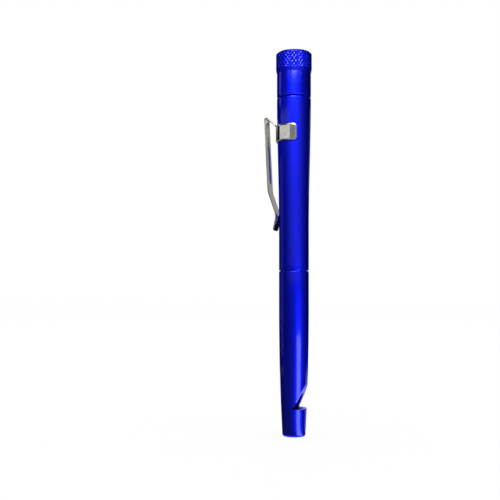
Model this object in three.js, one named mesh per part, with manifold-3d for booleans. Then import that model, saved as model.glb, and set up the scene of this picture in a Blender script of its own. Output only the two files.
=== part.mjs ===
// A two-cell penlight with a signal whistle at its tail and a stamped spring clip.
// Millimetres. +Z runs along the axis from the whistle's mouth to the lamp.
// The clip is at -Y, and the whistle's window is on the far side, at +Y.
import * as THREE from 'three';
import { mergeVertices } from 'three/addons/utils/BufferGeometryUtils.js';
import Module from 'manifold-3d';

const wasm = await Module();
wasm.setup();

// Dry cells, size AAA.
const CELL_DIAMETER = 10.5;
const CELL_LENGTH = 44.5;
const CELL_BUTTON_DIAMETER = 3.8;
const CELL_BUTTON_HEIGHT = 1.0;
const CELL_LABEL_WALL = 0.2;
const CELL_CAP_DIAMETER = 7.6;
const CELL_CAP_HEIGHT = 0.4;
const CELL_SEAL_HEIGHT = 0.9;

// Fits.
const CELL_CLEARANCE = 0.1;
const RUN_CLEARANCE = 0.1;
const SEAT_GAP = 0.06;
const EDGE_BREAK = 0.3;

// Walls of the turned tubes. The outside sizes follow from them.
const TAIL_SPIGOT_WALL = 0.5;
const TAIL_SOCKET_WALL = 0.5;
const HEAD_SPIGOT_WALL = 1.05;
const NECK_WALL = 0.84;

// Whistle.
const MOUTH_WALL = 0.95;
const WHISTLE_BORE = 8.0;
const PLUG_LENGTH = 11.9;
const WINDWAY_HEIGHT = 1.2;
const CHAMBER_LENGTH = 26.1;
const CHAMBER_FLOOR = 4.0;
const WINDOW_RISE = 11.0;
const WINDOW_FROM_AXIS = 0.86;
const TAIL_TAPER_LENGTH = 60;
const TAIL_TAPER_POWER = 2.4;

// Joint of tail and barrel.
const TAIL_POCKET_DEPTH = 29;
const TAIL_SPIGOT_LENGTH = 8;
const TAIL_SEAM = 0.25;
const CUP_HEIGHT = 1.4;
const CUP_SHEET = 0.5;
const SPRING_HEIGHT = 7.4;
const SPRING_WIRE = 0.7;
const SPRING_TURNS = 4.5;
const SPRING_TOP_RADIUS = 2.6;

// Barrel and head.
const BARREL_TAPER_LENGTH = 56;
const SHOULDER_ABOVE_CELLS = 6.2;
const CELL_STOP_THICKNESS = 1.2;
const CELL_STOP_OPENING = 6.4;
const HEAD_SPIGOT_LENGTH = 6.3;
const HEAD_SEAM = 0.45;
const RIM_STEP = 0.36;
const RIM_CONE_LENGTH = 1.6;
const RIM_CHAMFER = 0.68;
const KNURL_STARTS = 32;
const KNURL_ROWS = 6;
const KNURL_ROW_HEIGHT = 1.13;
const KNURL_DEPTH = 0.32;
const RING_SECTION = 0.8;
const GROOVE_BELOW_RIM = 1.7;

// Lamp.
const CONTACT_GAP = 0.45;
const STUD_HEAD_HEIGHT = 0.6;
const STUD_HEAD_RADIUS = 2.2;
const STUD_SHANK_RADIUS = 1.3;
const HOLDER_LIFT = 0.55;
const HOLDER_FLOOR = 1.8;
const HOLDER_WALL = 0.8;
const HOLDER_FLANGE = 1.2;
const BOARD_DEPTH = 2.4;
const BOARD_THICKNESS = 1.0;
const LED_RADIUS = 2.5;
const LED_RIM_STEP = 0.4;
const LED_RIM_HEIGHT = 1.0;
const LED_HEIGHT = 8.6;
const LED_TO_LENS = 0.91;
const LEAD_SIZE = 0.5;
const LEAD_PITCH = 2.54;
const LEAD_BELOW_BOARD = 0.9;
const RESISTOR_SIZE = [2.0, 1.25, 0.5];
const RESISTOR_FROM_AXIS = 2.0;
const CONTACT_WIRE = 0.4;
const CONTACT_TURNS = 4;
const CONTACT_TOP_RADIUS = 0.55;
const REFLECTOR_WALL = 0.5;
const REFLECTOR_HOLE = 0.3;
const REFLECTOR_RIM = 1.7;
const REFLECTOR_FOOT = 1.5;
const LENS_THICKNESS = 1.5;
const LENS_BEVEL = 0.2;
const LIP_THICKNESS = 1.2;
const LIP_WIDTH = 0.9;

// Clip.
const SHEET = 0.5;
const BAND_HEIGHT = 6.9;
const BAND_BELOW_SHOULDER = 15.4;
const BAND_HALF_WRAP_DEG = 114;
const BAND_CORNER = 1.2;
const BAND_CLEARANCE = 0.15;
const ARM_WIDTH = 6.5;
const ARM_STAND_OFF = 4.62;
const ARM_SLOPE_DEG = 2.9;
const ARM_STRAIGHT = 31.1;
const ARM_DROP = 10.4;
const ARM_KNEE_REACH = 1.2;
const ARM_REST_REACH = 1.6;
const ARM_REST_GAP = 0.3;
const TIP_LENGTH = 6.5;
const TIP_LIFT = 1.4;
const TIP_CORNER = 1.2;
const FOLD_RADIUS = 0.8;
const FOLD_ABOVE_BAND = 3.15;
const RISER_ANGLE_DEG = 48;
const RISER_LAP = 4.83;
const FLEX_GAP = 0.3;
const RIB_LENGTH = 21;
const RIB_WIDTH = 2.75;
const RIB_HEIGHT = 0.35;
const RIB_FROM_FOLD = 6.6;

// How far a cutting shape reaches past what it cuts.
const CUT_PAST = 1.0;

// Faces round the turned pieces.
const ROUND = 36;
const ROUND_SMALL = 20;

// Radii that follow.
const cellRadius = CELL_DIAMETER / 2;
const boreRadius = cellRadius + CELL_CLEARANCE;
const tailSpigotRadius = boreRadius + TAIL_SPIGOT_WALL;
const socketRadius = tailSpigotRadius + RUN_CLEARANCE;
const gripRadius = socketRadius + TAIL_SOCKET_WALL;
const whistleRadius = WHISTLE_BORE / 2;
const mouthRadius = whistleRadius + MOUTH_WALL;
const headSpigotRadius = boreRadius + HEAD_SPIGOT_WALL;
const neckBoreRadius = headSpigotRadius + RUN_CLEARANCE;
const neckRadius = neckBoreRadius + NECK_WALL;
const rimRadius = neckRadius + RIM_STEP;
const holderRadius = boreRadius - RUN_CLEARANCE;
const grooveRadius = headSpigotRadius - RING_SECTION;

// Heights that follow, from the whistle's mouth up.
const chamberTop = PLUG_LENGTH + CHAMBER_LENGTH;
const pocketFloor = chamberTop + CHAMBER_FLOOR;
const tailTop = pocketFloor + TAIL_POCKET_DEPTH;
const springBottom = pocketFloor + SEAT_GAP + CUP_SHEET + SEAT_GAP;
const rearCellBottom = springBottom + SPRING_HEIGHT + SEAT_GAP;
const frontCellBottom = rearCellBottom + CELL_LENGTH + SEAT_GAP;
const cellsTop = frontCellBottom + CELL_LENGTH;
const barrelBottom = tailTop + TAIL_SEAM;
const shoulder = cellsTop + SHOULDER_ABOVE_CELLS;
const spigotTop = shoulder + HEAD_SPIGOT_LENGTH;
const grooveBottom = spigotTop - GROOVE_BELOW_RIM;
const neckBottom = shoulder + HEAD_SEAM;
const studBottom = cellsTop + CONTACT_GAP;
const holderBottom = studBottom + STUD_HEAD_HEIGHT;
const holderTop = spigotTop + HOLDER_LIFT + HOLDER_FLANGE;
const holderLength = holderTop - holderBottom;
const boardBottom = holderTop - BOARD_DEPTH;
const ledBottom = boardBottom + BOARD_THICKNESS;
const lensBottom = ledBottom + LED_HEIGHT + LED_TO_LENS;
const lensTop = lensBottom + LENS_THICKNESS;
const gasketTop = lensTop + RING_SECTION;
const headTop = gasketTop + LIP_THICKNESS;
const headHeight = headTop - neckBottom;
const knurlTop = headHeight - RIM_CHAMFER;
const knurlBottom = knurlTop - KNURL_ROWS * KNURL_ROW_HEIGHT;
const neckLength = knurlBottom - RIM_CONE_LENGTH;
const reflectorHeight = lensBottom - holderTop;

// The barrel swells smoothly from its grip to the neck.
function barrelRadius(height) {
  const along = (height - (shoulder - BARREL_TAPER_LENGTH)) / BARREL_TAPER_LENGTH;
  return THREE.MathUtils.lerp(gripRadius, neckRadius, THREE.MathUtils.smoothstep(along, 0, 1));
}

// The tail narrows to the mouth, faster and faster.
function tailRadius(height) {
  const along = Math.max(0, (TAIL_TAPER_LENGTH - height) / TAIL_TAPER_LENGTH);
  return gripRadius - (gripRadius - mouthRadius) * along ** TAIL_TAPER_POWER;
}

// A turned solid from pairs of radius and height.
function turn(profile, faces = ROUND) {
  const points = profile.map(([radius, height]) => new THREE.Vector2(radius, height));
  return new THREE.LatheGeometry(points, faces).rotateX(Math.PI / 2);
}

// A turned ring or tube, whose profile closes on itself.
function turnRing(profile, faces = ROUND) {
  return turn([...profile, profile[0]], faces);
}

// A run of profile points along a radius formula.
function sweepProfile(radiusAt, from, to, steps) {
  const heights = Array.from({ length: steps + 1 }, (_, i) => from + ((to - from) * i) / steps);
  return heights.map((height) => [radiusAt(height), height]);
}

function solidOf(geometry) {
  const bare = geometry.clone();
  bare.deleteAttribute('normal');
  bare.deleteAttribute('uv');
  const merged = mergeVertices(bare, 1e-4);
  const vertProperties = new Float32Array(merged.attributes.position.array);
  const triVerts = new Uint32Array(merged.index.array);
  return new wasm.Manifold(new wasm.Mesh({ numProp: 3, vertProperties, triVerts }));
}

function geometryOf(solid) {
  const { vertProperties, triVerts } = solid.getMesh();
  const geometry = new THREE.BufferGeometry();
  geometry.setAttribute('position', new THREE.BufferAttribute(new Float32Array(vertProperties), 3));
  geometry.setIndex(new THREE.BufferAttribute(new Uint32Array(triVerts), 1));
  const flat = geometry.toNonIndexed();
  flat.computeVertexNormals();
  return flat;
}

function cut(body, ...tools) {
  return geometryOf(tools.reduce((solid, tool) => solid.subtract(solidOf(tool)), solidOf(body)));
}

// A solid through a stack of rings of points, closed at both ends.
// Each four-sided field folds along the diagonal that lies nearer the axis.
function stackRings(rings) {
  const count = rings[0].length;
  const points = rings.flat();
  const fromAxis = points.map((point) => Math.hypot(point.x, point.y));
  const faces = [];
  for (let row = 0; row + 1 < rings.length; row += 1) {
    for (let i = 0; i < count; i += 1) {
      const a = row * count + i;
      const b = row * count + ((i + 1) % count);
      const c = a + count;
      const d = b + count;
      const fallsBack = fromAxis[b] + fromAxis[c] < fromAxis[a] + fromAxis[d];
      faces.push(...(fallsBack ? [a, b, c, b, d, c] : [a, b, d, a, d, c]));
    }
  }
  for (let i = 1; i + 1 < count; i += 1) {
    const last = (rings.length - 1) * count;
    faces.push(0, i + 1, i);
    faces.push(last, last + i, last + i + 1);
  }
  const geometry = new THREE.BufferGeometry().setFromPoints(points);
  geometry.setIndex(faces);
  geometry.computeVertexNormals();
  return geometry;
}

// A conical coil of round wire, on its own axis from height 0 up.
class Coil extends THREE.Curve {
  constructor(bottomRadius, topRadius, height, turns) {
    super();
    Object.assign(this, { bottomRadius, topRadius, height, turns });
  }

  getPoint(t, target = new THREE.Vector3()) {
    const radius = THREE.MathUtils.lerp(this.bottomRadius, this.topRadius, t);
    const angle = 2 * Math.PI * this.turns * t;
    return target.set(radius * Math.cos(angle), radius * Math.sin(angle), this.height * t);
  }
}

// The least clear gap between curls that lie over half a turn apart along the wire.
function leastCoilGap(coil, wire) {
  const points = coil.getPoints(Math.round(coil.turns * 16));
  let least = Infinity;
  points.forEach((point, i) => {
    points.slice(i + 9).forEach((other) => {
      least = Math.min(least, point.distanceTo(other) - wire);
    });
  });
  return least;
}

function coilSpring(name, bottomRadius, topRadius, height, turns, wire) {
  const coil = new Coil(bottomRadius, topRadius, height - wire, turns);
  console.log(`${name}: least gap between curls ${leastCoilGap(coil, wire).toFixed(2)} mm`);
  const section = new THREE.Shape().absarc(0, 0, wire / 2, 0, 2 * Math.PI);
  const steps = Math.round(turns * 8);
  const options = { steps, curveSegments: 3, bevelEnabled: false, extrudePath: coil };
  return new THREE.ExtrudeGeometry(section, options).translate(0, 0, wire / 2);
}

function oRing(innerRadius) {
  const section = RING_SECTION / 2;
  return new THREE.TorusGeometry(innerRadius + section, section, 6, ROUND).translate(0, 0, section);
}

// A strip of sheet along a line in the plane of radius and height, centred across X.
// The line's first number is the distance from the axis towards -Y.
function strip(line, width) {
  const half = SHEET / 2;
  const sideways = line.map((point, i) => {
    const before = line[Math.max(0, i - 1)];
    const after = line[Math.min(line.length - 1, i + 1)];
    const into = point.clone().sub(before).normalize();
    const out = after.clone().sub(point).normalize();
    const along = into.add(out).normalize();
    return new THREE.Vector2(along.y, -along.x);
  });
  const left = line.map((point, i) => point.clone().addScaledVector(sideways[i], half));
  const right = line.map((point, i) => point.clone().addScaledVector(sideways[i], -half));
  const outline = new THREE.Shape([...left, ...right.reverse()]);
  const slab = new THREE.ExtrudeGeometry(outline, { depth: width, bevelEnabled: false });
  slab.translate(0, 0, -width / 2);
  return slab.applyMatrix4(new THREE.Matrix4().makeBasis(
    new THREE.Vector3(0, -1, 0),
    new THREE.Vector3(0, 0, 1),
    new THREE.Vector3(-1, 0, 0),
  ));
}

function headShell() {
  const count = 2 * KNURL_STARTS;
  const ring = (height, radiusAt) => Array.from({ length: count }, (_, i) => {
    const angle = (2 * Math.PI * i) / count;
    const radius = radiusAt(i);
    return new THREE.Vector3(radius * Math.cos(angle), radius * Math.sin(angle), height);
  });
  const plain = (radius, height) => ring(height, () => radius);
  const root = rimRadius - KNURL_DEPTH;
  const rows = Array.from({ length: KNURL_ROWS + 1 }, (_, row) => {
    const height = knurlBottom + row * KNURL_ROW_HEIGHT;
    return ring(height, (i) => ((row + i) % 2 === 0 ? rimRadius : root));
  });
  const blank = stackRings([
    plain(neckRadius - EDGE_BREAK, 0),
    plain(neckRadius, EDGE_BREAK),
    plain(neckRadius, neckLength),
    ...rows,
    plain(rimRadius - RIM_CHAMFER, headHeight),
  ]);
  const seat = headHeight - LIP_THICKNESS;
  const opening = neckBoreRadius - LIP_WIDTH;
  const hollow = turn([
    [0, -CUT_PAST],
    [neckBoreRadius, -CUT_PAST],
    [neckBoreRadius, seat],
    [opening, seat],
    [opening, headHeight - EDGE_BREAK],
    [opening + EDGE_BREAK + CUT_PAST, headHeight + CUT_PAST],
    [0, headHeight + CUT_PAST],
  ]);
  return cut(blank, hollow);
}

function lens() {
  const radius = neckBoreRadius - SEAT_GAP;
  return turn([
    [0, 0],
    [radius, 0],
    [radius, LENS_THICKNESS - LENS_BEVEL],
    [radius - LENS_BEVEL, LENS_THICKNESS],
    [0, LENS_THICKNESS],
  ]);
}

// A parabolic mirror cup: the square of its radius grows evenly with height.
function reflector() {
  const outer = neckBoreRadius - SEAT_GAP;
  const hole = LED_RADIUS + REFLECTOR_HOLE;
  const mouth = outer - REFLECTOR_WALL;
  const mirror = (height) => {
    const along = (height - REFLECTOR_WALL) / (reflectorHeight - REFLECTOR_WALL);
    return Math.sqrt(THREE.MathUtils.lerp(hole ** 2, mouth ** 2, along));
  };
  return turnRing([
    [hole, 0],
    [hole + REFLECTOR_FOOT, 0],
    [outer, reflectorHeight - REFLECTOR_RIM],
    [outer, reflectorHeight],
    ...sweepProfile(mirror, reflectorHeight, REFLECTOR_WALL, 6),
  ], ROUND);
}

function lampHolder() {
  const inside = holderRadius - HOLDER_WALL;
  const ledge = inside - HOLDER_WALL;
  const boardSeat = holderLength - BOARD_DEPTH;
  const flangeRadius = neckBoreRadius - RUN_CLEARANCE;
  const shank = STUD_SHANK_RADIUS + SEAT_GAP;
  return turnRing([
    [shank, 0],
    [holderRadius - EDGE_BREAK, 0],
    [holderRadius, EDGE_BREAK],
    [holderRadius, holderLength - HOLDER_FLANGE],
    [flangeRadius, holderLength - HOLDER_FLANGE],
    [flangeRadius, holderLength],
    [inside, holderLength],
    [inside, boardSeat],
    [ledge, boardSeat],
    [ledge, HOLDER_FLOOR],
    [shank, HOLDER_FLOOR],
  ], ROUND_SMALL);
}

function circuitBoard() {
  const radius = holderRadius - HOLDER_WALL - SEAT_GAP;
  const disc = new THREE.CylinderGeometry(radius, radius, BOARD_THICKNESS, ROUND_SMALL);
  disc.rotateX(Math.PI / 2).translate(0, 0, BOARD_THICKNESS / 2);
  const holes = [-1, 1].map((side) => {
    const hole = new THREE.CylinderGeometry(LEAD_SIZE, LEAD_SIZE, 3 * BOARD_THICKNESS, 10);
    return hole.rotateX(Math.PI / 2).translate((side * LEAD_PITCH) / 2, 0, 0);
  });
  return cut(disc, ...holes);
}

function led() {
  const rim = LED_RADIUS + LED_RIM_STEP;
  const straight = LED_HEIGHT - LED_RADIUS;
  const dome = (i) => {
    const angle = (i * Math.PI) / 12;
    return [LED_RADIUS * Math.cos(angle), straight + LED_RADIUS * Math.sin(angle)];
  };
  return turn([
    [0, 0],
    [rim, 0],
    [rim, LED_RIM_HEIGHT],
    [LED_RADIUS, LED_RIM_HEIGHT],
    ...[0, 1, 2, 3, 4, 5].map(dome),
    [0, LED_HEIGHT],
  ], ROUND_SMALL);
}

function lead() {
  const length = LEAD_BELOW_BOARD + BOARD_THICKNESS;
  return new THREE.BoxGeometry(LEAD_SIZE, LEAD_SIZE, length).translate(0, 0, -length / 2);
}

function contactStud() {
  const height = STUD_HEAD_HEIGHT + HOLDER_FLOOR;
  return turn([
    [0, 0],
    [STUD_HEAD_RADIUS - EDGE_BREAK, 0],
    [STUD_HEAD_RADIUS, EDGE_BREAK],
    [STUD_HEAD_RADIUS, STUD_HEAD_HEIGHT],
    [STUD_SHANK_RADIUS, STUD_HEAD_HEIGHT],
    [STUD_SHANK_RADIUS, height],
    [0, height],
  ], ROUND_SMALL);
}

// One tube with a spigot at each end and a ledge that stops the cells below the lamp.
// The head's spigot has a groove for its O-ring.
function barrel() {
  const length = shoulder - barrelBottom;
  const top = spigotTop - barrelBottom;
  const grooveLow = grooveBottom - barrelBottom;
  const grooveHigh = grooveLow + RING_SECTION + 2 * SEAT_GAP;
  const taperStart = length - BARREL_TAPER_LENGTH;
  const outside = (height) => barrelRadius(height + barrelBottom);
  const stopBottom = cellsTop - CELL_BUTTON_HEIGHT + SEAT_GAP - barrelBottom;
  const stopTop = stopBottom + CELL_STOP_THICKNESS;
  const stopRadius = CELL_STOP_OPENING / 2;
  return turnRing([
    [boreRadius, -TAIL_SPIGOT_LENGTH],
    [tailSpigotRadius - EDGE_BREAK, -TAIL_SPIGOT_LENGTH],
    [tailSpigotRadius, EDGE_BREAK - TAIL_SPIGOT_LENGTH],
    [tailSpigotRadius, 0],
    [gripRadius - EDGE_BREAK, 0],
    [gripRadius, EDGE_BREAK],
    ...sweepProfile(outside, taperStart, length - EDGE_BREAK, 10),
    [neckRadius - EDGE_BREAK, length],
    [headSpigotRadius, length],
    [headSpigotRadius, grooveLow],
    [grooveRadius, grooveLow],
    [grooveRadius, grooveHigh],
    [headSpigotRadius, grooveHigh],
    [headSpigotRadius, top - EDGE_BREAK],
    [headSpigotRadius - EDGE_BREAK, top],
    [boreRadius, top],
    [boreRadius, stopTop],
    [stopRadius, stopTop],
    [stopRadius, stopBottom],
    [boreRadius, stopBottom],
  ]);
}

function cellCan() {
  const radius = cellRadius - CELL_LABEL_WALL - SEAT_GAP;
  const top = CELL_LENGTH - CELL_BUTTON_HEIGHT;
  const button = CELL_BUTTON_DIAMETER / 2;
  return turn([
    [0, CELL_SEAL_HEIGHT],
    [radius, CELL_SEAL_HEIGHT],
    [radius, top - EDGE_BREAK],
    [radius - EDGE_BREAK, top],
    [button, top],
    [button, CELL_LENGTH - EDGE_BREAK],
    [button - EDGE_BREAK, CELL_LENGTH],
    [0, CELL_LENGTH],
  ], ROUND_SMALL);
}

function cellLabel() {
  const top = CELL_LENGTH - CELL_BUTTON_HEIGHT - EDGE_BREAK;
  return turnRing([
    [cellRadius - CELL_LABEL_WALL, CELL_SEAL_HEIGHT],
    [cellRadius, CELL_SEAL_HEIGHT],
    [cellRadius, top],
    [cellRadius - CELL_LABEL_WALL, top],
  ], ROUND_SMALL);
}

function cellCap() {
  const radius = CELL_CAP_DIAMETER / 2;
  return turn([
    [0, 0],
    [radius - EDGE_BREAK, 0],
    [radius, EDGE_BREAK],
    [radius, CELL_CAP_HEIGHT],
    [0, CELL_CAP_HEIGHT],
  ], ROUND_SMALL);
}

// The insulating seal fills the can's mouth round and behind the bottom cap.
function cellSeal() {
  const outer = cellRadius - CELL_LABEL_WALL - SEAT_GAP;
  const inner = CELL_CAP_DIAMETER / 2 + SEAT_GAP;
  return turn([
    [0, CELL_CAP_HEIGHT],
    [inner, CELL_CAP_HEIGHT],
    [inner, EDGE_BREAK],
    [outer, EDGE_BREAK],
    [outer, CELL_SEAL_HEIGHT],
    [0, CELL_SEAL_HEIGHT],
  ], ROUND_SMALL);
}

// The clip's band wraps the barrel and has rounded corners at its two ends.
const bandTop = shoulder - BAND_BELOW_SHOULDER + BAND_HEIGHT / 2;
const bandInner = barrelRadius(bandTop) + BAND_CLEARANCE;
const bandMiddle = bandInner + SHEET / 2;

function clipBand() {
  const halfWrap = THREE.MathUtils.degToRad(BAND_HALF_WRAP_DEG);
  const cornerSteps = 4;
  const wrapSteps = 24;
  const cornerAngle = BAND_CORNER / bandMiddle;
  const fromEnd = (i) => BAND_CORNER * (1 - Math.cos((i * Math.PI) / 2 / cornerSteps));
  const corner = Array.from({ length: cornerSteps }, (_, i) => {
    const short = BAND_CORNER - Math.sqrt(BAND_CORNER ** 2 - (BAND_CORNER - fromEnd(i)) ** 2);
    return { angle: fromEnd(i) / bandMiddle, short };
  });
  const middle = Array.from({ length: wrapSteps + 1 }, (_, i) => {
    const angle = cornerAngle + ((2 * halfWrap - 2 * cornerAngle) * i) / wrapSteps;
    return { angle, short: 0 };
  });
  const farCorner = [...corner].reverse().map(({ angle, short }) => {
    return { angle: 2 * halfWrap - angle, short };
  });
  const stations = [...corner, ...middle, ...farCorner];
  const rings = stations.map(({ angle, short }) => {
    const around = angle - halfWrap - Math.PI / 2;
    const half = BAND_HEIGHT / 2 - short;
    const place = (radius, height) => {
      return new THREE.Vector3(radius * Math.cos(around), radius * Math.sin(around), height);
    };
    const outer = bandInner + SHEET;
    return [place(bandInner, -half), place(bandInner, half), place(outer, half), place(outer, -half)];
  });
  const band = stackRings(rings).translate(0, 0, bandTop - BAND_HEIGHT / 2);
  const riser = strip(riserLine(), ARM_WIDTH);
  return geometryOf(solidOf(band).add(solidOf(riser)));
}

// The clip's middle line in the plane of radius and height.
const foldCentre = new THREE.Vector2(bandMiddle + ARM_STAND_OFF - FOLD_RADIUS, bandTop + FOLD_ABOVE_BAND);
const armSlope = THREE.MathUtils.degToRad(ARM_SLOPE_DEG);
const riserAngle = THREE.MathUtils.degToRad(RISER_ANGLE_DEG);

function foldPoint(angle) {
  return new THREE.Vector2(Math.cos(angle), Math.sin(angle)).multiplyScalar(FOLD_RADIUS).add(foldCentre);
}

// The riser leaves the band and leans out to where the fold begins.
const foldStart = foldPoint(Math.PI / 2 + riserAngle);
const riserDirection = new THREE.Vector2(Math.cos(riserAngle), Math.sin(riserAngle));
const flexPoint = foldStart.clone().addScaledVector(riserDirection, -FLEX_GAP / 2);

function riserLine() {
  const end = flexPoint.clone().addScaledVector(riserDirection, -FLEX_GAP / 2);
  const run = (end.x - bandMiddle) / riserDirection.x;
  const knee = end.clone().addScaledVector(riserDirection, -run);
  const foot = new THREE.Vector2(bandMiddle, bandTop - RISER_LAP);
  return [foot, knee, end];
}

const armStart = foldPoint(-armSlope);
const armDirection = new THREE.Vector2(-Math.sin(armSlope), -Math.cos(armSlope));

function armLine() {
  const steps = 6;
  const fold = Array.from({ length: steps + 1 }, (_, i) => {
    const turned = i / steps;
    return foldPoint(THREE.MathUtils.lerp(Math.PI / 2 + riserAngle, -armSlope, turned));
  });
  const knee = armStart.clone().addScaledVector(armDirection, ARM_STRAIGHT);
  const restHeight = knee.y - ARM_DROP;
  const rest = new THREE.Vector2(barrelRadius(restHeight) + ARM_REST_GAP + SHEET / 2, restHeight);
  const tip = new THREE.Vector2(rest.x + TIP_LIFT, rest.y - TIP_LENGTH);
  const softTurn = (from, corner, to, reach) => {
    const before = corner.clone().sub(from).setLength(reach);
    const after = to.clone().sub(corner).setLength(reach);
    const start = corner.clone().sub(before);
    const end = corner.clone().add(after);
    return new THREE.QuadraticBezierCurve(start, corner, end).getPoints(4);
  };
  const kneeTurn = softTurn(armStart, knee, rest, ARM_KNEE_REACH);
  const restTurn = softTurn(knee, rest, tip, ARM_REST_REACH);
  return [...fold, ...kneeTurn, ...restTurn, tip];
}

function stadium(length, width, depth) {
  const radius = width / 2;
  const reach = length / 2 - radius;
  const outline = new THREE.Shape();
  outline.absarc(0, reach, radius, 0, Math.PI);
  outline.absarc(0, -reach, radius, Math.PI, 2 * Math.PI);
  return new THREE.ExtrudeGeometry(outline, { depth, curveSegments: 4, bevelEnabled: false });
}

// A pressed rib stands out of the arm's face and leaves a hollow behind it.
function clipArm() {
  const line = armLine();
  const blank = solidOf(strip(line, ARM_WIDTH));
  const tipHeight = line[line.length - 1].y - SHEET / 2;
  const outline = new THREE.Shape();
  const half = ARM_WIDTH / 2;
  const top = foldCentre.y + 4 * FOLD_RADIUS;
  outline.moveTo(-half - CUT_PAST, top);
  outline.lineTo(-half - CUT_PAST, tipHeight + TIP_CORNER);
  outline.lineTo(-half, tipHeight + TIP_CORNER);
  outline.absarc(-half + TIP_CORNER, tipHeight + TIP_CORNER, TIP_CORNER, Math.PI, 1.5 * Math.PI);
  outline.absarc(half - TIP_CORNER, tipHeight + TIP_CORNER, TIP_CORNER, 1.5 * Math.PI, 2 * Math.PI);
  outline.lineTo(half + CUT_PAST, tipHeight + TIP_CORNER);
  outline.lineTo(half + CUT_PAST, top);
  const reach = foldCentre.x + FOLD_RADIUS + SHEET + CUT_PAST;
  const punch = new THREE.ExtrudeGeometry(outline, { depth: reach, curveSegments: 5, bevelEnabled: false });
  punch.rotateX(Math.PI / 2);
  const ribMiddle = armStart.clone().addScaledVector(armDirection, RIB_FROM_FOLD + RIB_LENGTH / 2);
  const onArm = (tool, outward) => {
    tool.rotateX(Math.PI / 2 + armSlope);
    return tool.translate(0, -ribMiddle.x - outward, ribMiddle.y);
  };
  const behind = SHEET / 2 + CUT_PAST;
  const ridge = onArm(stadium(RIB_LENGTH, RIB_WIDTH, RIB_HEIGHT + SHEET / 2), 0);
  const hollow = onArm(stadium(RIB_LENGTH - SHEET, RIB_WIDTH - SHEET, RIB_HEIGHT + CUT_PAST), -behind);
  return geometryOf(blank.intersect(solidOf(punch)).add(solidOf(ridge)).subtract(solidOf(hollow)));
}

function springCup() {
  const outer = boreRadius - 2 * RUN_CLEARANCE;
  return turn([
    [0, 0],
    [outer, 0],
    [outer, CUP_HEIGHT],
    [outer - CUP_SHEET, CUP_HEIGHT],
    [outer - CUP_SHEET, CUP_SHEET],
    [0, CUP_SHEET],
  ], ROUND_SMALL);
}

function batterySpring() {
  const outer = boreRadius - 2 * RUN_CLEARANCE - CUP_SHEET - RUN_CLEARANCE - SPRING_WIRE / 2;
  return coilSpring('battery_spring', outer, SPRING_TOP_RADIUS, SPRING_HEIGHT, SPRING_TURNS, SPRING_WIRE);
}

function contactSpring() {
  const height = boardBottom - holderBottom - HOLDER_FLOOR - 2 * SEAT_GAP;
  const radius = STUD_SHANK_RADIUS;
  return coilSpring('contact_spring', radius, CONTACT_TOP_RADIUS, height, CONTACT_TURNS, CONTACT_WIRE);
}

// The tail: a cell pocket above, the whistle's chamber below, and the whistle's window.
// The window's floor is square to the axis, and its far wall slants out to a sharp lip.
function tailBarrel() {
  const socketFloor = tailTop - TAIL_SPIGOT_LENGTH - 2 * RUN_CLEARANCE;
  const taperTop = Math.min(TAIL_TAPER_LENGTH, tailTop - 2 * EDGE_BREAK);
  const tube = turn([
    [0, chamberTop],
    [whistleRadius, chamberTop],
    [whistleRadius, 0],
    [mouthRadius - EDGE_BREAK, 0],
    ...sweepProfile(tailRadius, EDGE_BREAK, taperTop, 10),
    [gripRadius, tailTop - EDGE_BREAK],
    [gripRadius - EDGE_BREAK, tailTop],
    [socketRadius, tailTop],
    [socketRadius, socketFloor],
    [boreRadius, socketFloor],
    [boreRadius, pocketFloor],
    [0, pocketFloor],
  ]);
  const lip = tailRadius(PLUG_LENGTH + WINDOW_RISE);
  const slope = WINDOW_RISE / (lip - WINDOW_FROM_AXIS);
  const beyond = 2 * gripRadius;
  const outline = new THREE.Shape();
  outline.moveTo(WINDOW_FROM_AXIS, PLUG_LENGTH);
  outline.lineTo(beyond, PLUG_LENGTH);
  outline.lineTo(beyond, PLUG_LENGTH + slope * (beyond - WINDOW_FROM_AXIS));
  const wedge = new THREE.ExtrudeGeometry(outline, { depth: 2 * beyond, bevelEnabled: false });
  wedge.translate(0, 0, -beyond).rotateY(Math.PI / 2).rotateX(Math.PI / 2);
  return cut(tube, wedge);
}

// The plug is flat on the window's side, and the breath goes through the space it leaves.
function whistlePlug() {
  const radius = whistleRadius - SEAT_GAP;
  const rod = turn([[0, 0], [radius, 0], [radius, PLUG_LENGTH], [0, PLUG_LENGTH]], 32);
  const size = 4 * radius;
  const windway = new THREE.BoxGeometry(size, size, size);
  windway.translate(0, whistleRadius - WINDWAY_HEIGHT + size / 2, 0);
  return cut(rod, windway);
}

const BLUE_ANODISED = { color: 0x0a1ad6, roughness: 0.28, metalness: 0.85 };
const PLATED_STEEL = { color: 0xc9ccc8, roughness: 0.12, metalness: 1.0 };
const TINNED_STEEL = { color: 0xb5b7b8, roughness: 0.3, metalness: 1.0 };
const SPRING_STEEL = { color: 0xa8abad, roughness: 0.25, metalness: 1.0 };
const BRASS = { color: 0xc8a14a, roughness: 0.3, metalness: 1.0 };
const BLACK_RUBBER = { color: 0x151515, roughness: 0.85, metalness: 0.0 };
const CLEAR_ACRYLIC = { color: 0xeaf2f5, roughness: 0.05, metalness: 0.0, transparent: true, opacity: 0.35 };
const MIRROR_FILM = { color: 0xe2e4e6, roughness: 0.06, metalness: 1.0 };
const WHITE_PLASTIC = { color: 0xe6e4dc, roughness: 0.5, metalness: 0.0 };
const BLACK_PLASTIC = { color: 0x1b1c1e, roughness: 0.45, metalness: 0.0 };
const GREEN_BOARD = { color: 0x1d5a32, roughness: 0.5, metalness: 0.0 };
const CLEAR_EPOXY = { color: 0xf3f1dc, roughness: 0.1, metalness: 0.0, transparent: true, opacity: 0.6 };
const GREY_LABEL = { color: 0x5a6068, roughness: 0.4, metalness: 0.0 };
const BROWN_SEAL = { color: 0x6a4a32, roughness: 0.6, metalness: 0.0 };

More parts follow.
